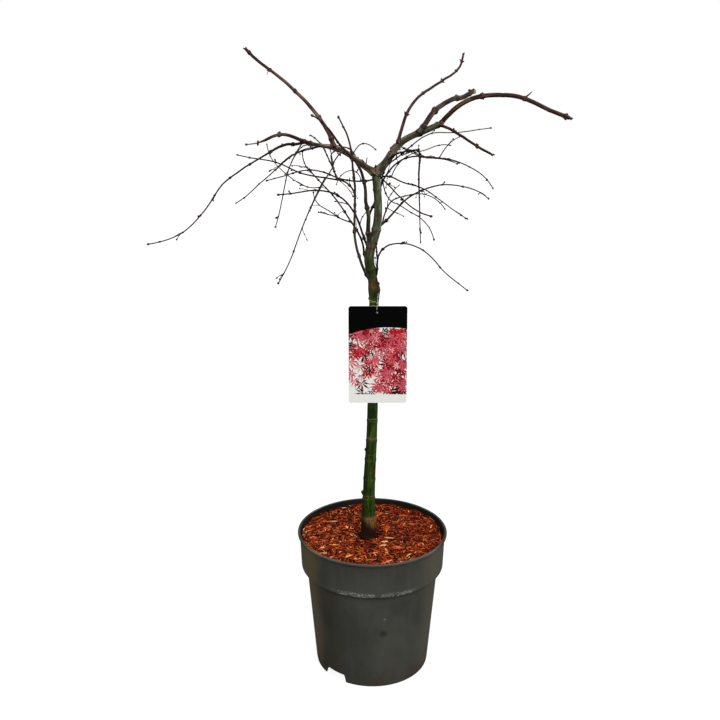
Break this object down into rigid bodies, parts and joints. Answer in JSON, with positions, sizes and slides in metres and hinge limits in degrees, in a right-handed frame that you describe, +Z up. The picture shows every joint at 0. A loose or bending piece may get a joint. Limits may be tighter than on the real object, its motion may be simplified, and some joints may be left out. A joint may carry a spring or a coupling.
{
  "type": "potted weeping maple tree",
  "caption": "Bare winter weeping maple, grafted as a slender standard, with a wide arching crown of fine twigs, in a round dark grey nursery pot topped with bark mulch.",
  "frame": {"origin": "on the pot's axis, on the level surface that the pot stands on", "axes": "+Z up along the trunk; -Y is the front, the side the hang tag faces; +X is to the right seen from the front, where the long arching bough reaches"},
  "size_m": [0.7835, 0.4882, 1.3042],
  "materials": {
    "pot_plastic": "satin injection-moulded plastic, scuffed",
    "potting_soil": "dark damp potting mix, hidden under the mulch",
    "bark_mulch": "shredded red-brown bark",
    "trunk_bark": "smooth green bark with fine streaks",
    "bough_bark": "grey-brown and reddish bark with node collars",
    "shoot_bark": "purple-brown young bark, slightly glossy",
    "twig_bark": "near-black brown fine twigs",
    "tag_card": "printed laminated card",
    "tag_tie": "clear grey plastic tie"
  },
  "bodies": {
    "root": {"back_left_twigs": "twig_bark", "back_right_twigs": "twig_bark", "bark_mulch": "bark_mulch", "front_left_twigs": "twig_bark", "front_right_twigs": "twig_bark", "hang_tag": "tag_card", "left_arch_tip": "bough_bark", "left_bough": "bough_bark", "left_foot_twigs": "twig_bark", "left_inner_twigs": "twig_bark", "left_long_shoot": "shoot_bark", "left_low_twigs": "twig_bark", "left_middle_twigs": "twig_bark", "left_outer_twigs": "twig_bark", "left_upshoot": "shoot_bark", "left_weeping_twigs": "twig_bark", "pot": "pot_plastic", "potting_soil": "potting_soil", "right_arching_bough": "bough_bark", "right_bough": "bough_bark", "right_drooping_shoot": "shoot_bark", "right_fan_twigs": "twig_bark", "right_foot_twigs": "twig_bark", "right_low_twigs": "twig_bark", "right_under_twigs": "twig_bark", "right_upshoot": "shoot_bark", "second_stem": "shoot_bark", "tag_loop": "tag_tie", "trunk": "trunk_bark", "upper_right_bough": "bough_bark"}
  },
  "joints": []
}
